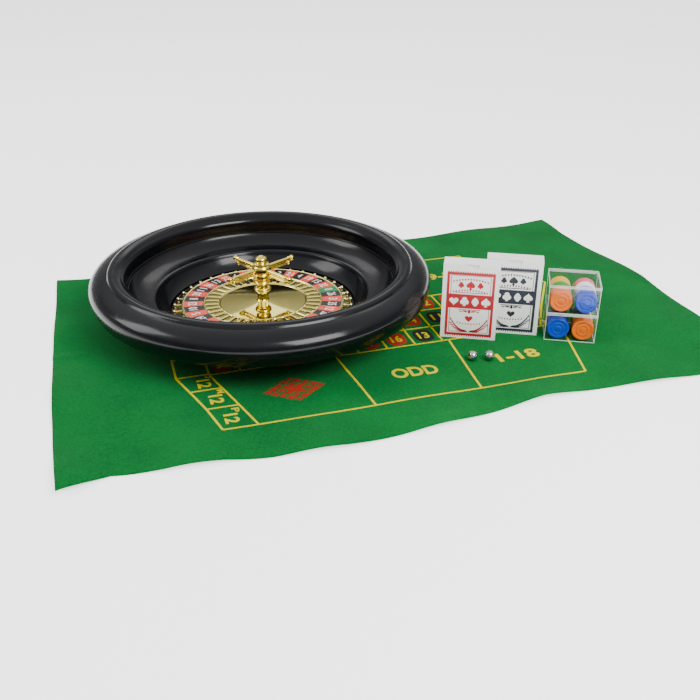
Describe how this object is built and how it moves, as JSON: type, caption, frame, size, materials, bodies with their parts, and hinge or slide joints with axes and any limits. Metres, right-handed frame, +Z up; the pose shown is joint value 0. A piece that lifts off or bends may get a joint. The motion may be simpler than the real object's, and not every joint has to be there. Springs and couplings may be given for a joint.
{
  "type": "roulette set",
  "caption": "Table roulette set on a printed felt: spinning wheel in a dished bowl, steel balls, boxed cards and clear cases of chips.",
  "frame": {"origin": "the wheel's axis at table level, on the underside of the felt", "axes": "+X along the felt, +Y across it away from the players, +Z up"},
  "size_m": [0.73, 0.492, 0.093],
  "materials": {
    "felt_layout": "napped green felt with yellow printed layout",
    "bowl_shell": "semi-gloss black moulding",
    "bowl_base": "semi-gloss black moulding",
    "base_screws": "zinc",
    "foot_pads": "matt",
    "rotor_spindle": "ground",
    "thrust_washer": "plain",
    "rotor_pan": "semi-gloss",
    "rotor_core": "plain",
    "hub_bush": "turned",
    "pocket_frets": "gold-plated, polished",
    "pocket_wall": "gold-plated, polished",
    "ring_outer_trim": "gold-plated, polished",
    "ring_inner_trim": "gold-plated, polished",
    "gold_dish": "gold-plated, polished",
    "turret_column": "gold-plated, polished",
    "turret_collar": "gold-plated, polished",
    "turret_goblet": "gold-plated, polished",
    "turret_hub": "gold-plated, polished",
    "turret_arms": "gold-plated, polished",
    "turret_neck": "gold-plated, polished",
    "turret_cap": "gold-plated, polished",
    "cells_red": "printed",
    "cells_black": "printed",
    "cell_zero": "printed",
    "ball_left": "polished",
    "ball_right": "polished",
    "red_carton": "coated white with a printed front",
    "red_flap": "coated white with a printed front",
    "red_tongue": "coated white with a printed front",
    "red_deck": "cut edges of cards",
    "black_carton": "coated white with a printed front",
    "black_flap": "coated white with a printed front",
    "black_tongue": "coated white with a printed front",
    "black_deck": "cut edges of cards",
    "lower_tray": "clear",
    "lower_lid": "clear",
    "lower_hinge_pin": "drawn",
    "upper_tray": "clear",
    "upper_lid": "clear",
    "upper_hinge_pin": "drawn",
    "lower_chips_blue": "moulded chips",
    "lower_chips_violet": "moulded chips",
    "lower_chips_green": "moulded chips",
    "lower_chips_orange": "moulded chips",
    "lower_chips_yellow": "moulded chips",
    "lower_chips_white": "moulded chips",
    "upper_chips_orange": "moulded chips",
    "upper_chips_green": "moulded chips",
    "upper_chips_yellow": "moulded chips",
    "upper_chips_blue": "moulded chips",
    "upper_chips_lavender": "moulded chips",
    "upper_chips_white": "moulded chips",
    "upper_chips_pink": "moulded chips"
  },
  "bodies": {
    "felt": {"felt_layout": "felt_layout"},
    "bowl": {"bowl_shell": "bowl_shell", "bowl_base": "bowl_base", "base_screws": "base_screws", "foot_pads": "foot_pads", "rotor_spindle": "rotor_spindle", "thrust_washer": "thrust_washer"},
    "rotor": {"rotor_pan": "rotor_pan", "rotor_core": "rotor_core", "hub_bush": "hub_bush", "pocket_frets": "pocket_frets", "pocket_wall": "pocket_wall", "cells_red": "cells_red", "cells_black": "cells_black", "cell_zero": "cell_zero", "ring_outer_trim": "ring_outer_trim", "ring_inner_trim": "ring_inner_trim", "gold_dish": "gold_dish", "turret_column": "turret_column", "turret_collar": "turret_collar", "turret_goblet": "turret_goblet", "turret_hub": "turret_hub", "turret_arms": "turret_arms", "turret_neck": "turret_neck", "turret_cap": "turret_cap"},
    "left_ball": {"ball_left": "ball_left"},
    "right_ball": {"ball_right": "ball_right"},
    "red_box": {"red_carton": "red_carton", "red_deck": "red_deck"},
    "red_box_flap": {"red_flap": "red_flap"},
    "red_box_tongue": {"red_tongue": "red_tongue"},
    "black_box": {"black_carton": "black_carton", "black_deck": "black_deck"},
    "black_box_flap": {"black_flap": "black_flap"},
    "black_box_tongue": {"black_tongue": "black_tongue"},
    "lower_case": {"lower_tray": "lower_tray", "lower_hinge_pin": "lower_hinge_pin", "lower_chips_blue": "lower_chips_blue", "lower_chips_violet": "lower_chips_violet", "lower_chips_green": "lower_chips_green", "lower_chips_orange": "lower_chips_orange", "lower_chips_yellow": "lower_chips_yellow", "lower_chips_white": "lower_chips_white"},
    "lower_case_lid": {"lower_lid": "lower_lid"},
    "upper_case": {"upper_tray": "upper_tray", "upper_hinge_pin": "upper_hinge_pin", "upper_chips_orange": "upper_chips_orange", "upper_chips_green": "upper_chips_green", "upper_chips_yellow": "upper_chips_yellow", "upper_chips_blue": "upper_chips_blue", "upper_chips_lavender": "upper_chips_lavender", "upper_chips_white": "upper_chips_white", "upper_chips_pink": "upper_chips_pink"},
    "upper_case_lid": {"upper_lid": "upper_lid"}
  },
  "joints": [
    {"name": "bowl_lift", "type": "slide", "parent": "felt", "child": "bowl", "axis": [0, 0, 1], "range_m": [0, 0.15]},
    {"name": "rotor_spin", "type": "hinge", "parent": "bowl", "child": "rotor", "pos_m": [0, 0, 0.014], "axis": [0, 0, 1], "continuous": true},
    {"name": "left_ball_lift", "type": "slide", "parent": "felt", "child": "left_ball", "axis": [0, 0, 1], "range_m": [0, 0.1]},
    {"name": "right_ball_lift", "type": "slide", "parent": "felt", "child": "right_ball", "axis": [0, 0, 1], "range_m": [0, 0.1]},
    {"name": "red_box_lift", "type": "slide", "parent": "felt", "child": "red_box", "axis": [0, 0, 1], "range_m": [0, 0.15]},
    {"name": "red_flap_open", "type": "hinge", "parent": "red_box", "child": "red_box_flap", "pos_m": [0.21824, -0.11726, 0.0922], "axis": [-0.891, 0.454, 0], "range_deg": [0, 110]},
    {"name": "red_tongue_fold", "type": "hinge", "parent": "red_box_flap", "child": "red_box_tongue", "pos_m": [0.21107, -0.13134, 0.0922], "axis": [-0.891, 0.454, 0], "range_deg": [-66, 0]},
    {"name": "black_box_lift", "type": "slide", "parent": "felt", "child": "black_box", "axis": [0, 0, 1], "range_m": [0, 0.15]},
    {"name": "black_flap_open", "type": "hinge", "parent": "black_box", "child": "black_box_flap", "pos_m": [0.26984, -0.11986, 0.0922], "axis": [-0.891, 0.454, 0], "range_deg": [0, 110]},
    {"name": "black_tongue_fold", "type": "hinge", "parent": "black_box_flap", "child": "black_box_tongue", "pos_m": [0.26266, -0.13394, 0.0922], "axis": [-0.891, 0.454, 0], "range_deg": [-66, 0]},
    {"name": "lower_case_lift", "type": "slide", "parent": "felt", "child": "lower_case", "axis": [0, 0, 1], "range_m": [0, 0.1]},
    {"name": "lower_lid_open", "type": "hinge", "parent": "lower_case", "child": "lower_case_lid", "pos_m": [0.34227, -0.12807, 0.033], "axis": [-0.891, 0.454, 0], "range_deg": [0, 95]},
    {"name": "upper_case_lift", "type": "slide", "parent": "lower_case_lid", "child": "upper_case", "axis": [0, 0, 1], "range_m": [0, 0.1]},
    {"name": "upper_lid_open", "type": "hinge", "parent": "upper_case", "child": "upper_case_lid", "pos_m": [0.34227, -0.12807, 0.06702], "axis": [-0.891, 0.454, 0], "range_deg": [0, 110]}
  ],
  "couplings": [
    {"joint": "red_tongue_fold", "follows": "red_flap_open", "ratio": -0.6},
    {"joint": "black_tongue_fold", "follows": "black_flap_open", "ratio": -0.6}
  ]
}
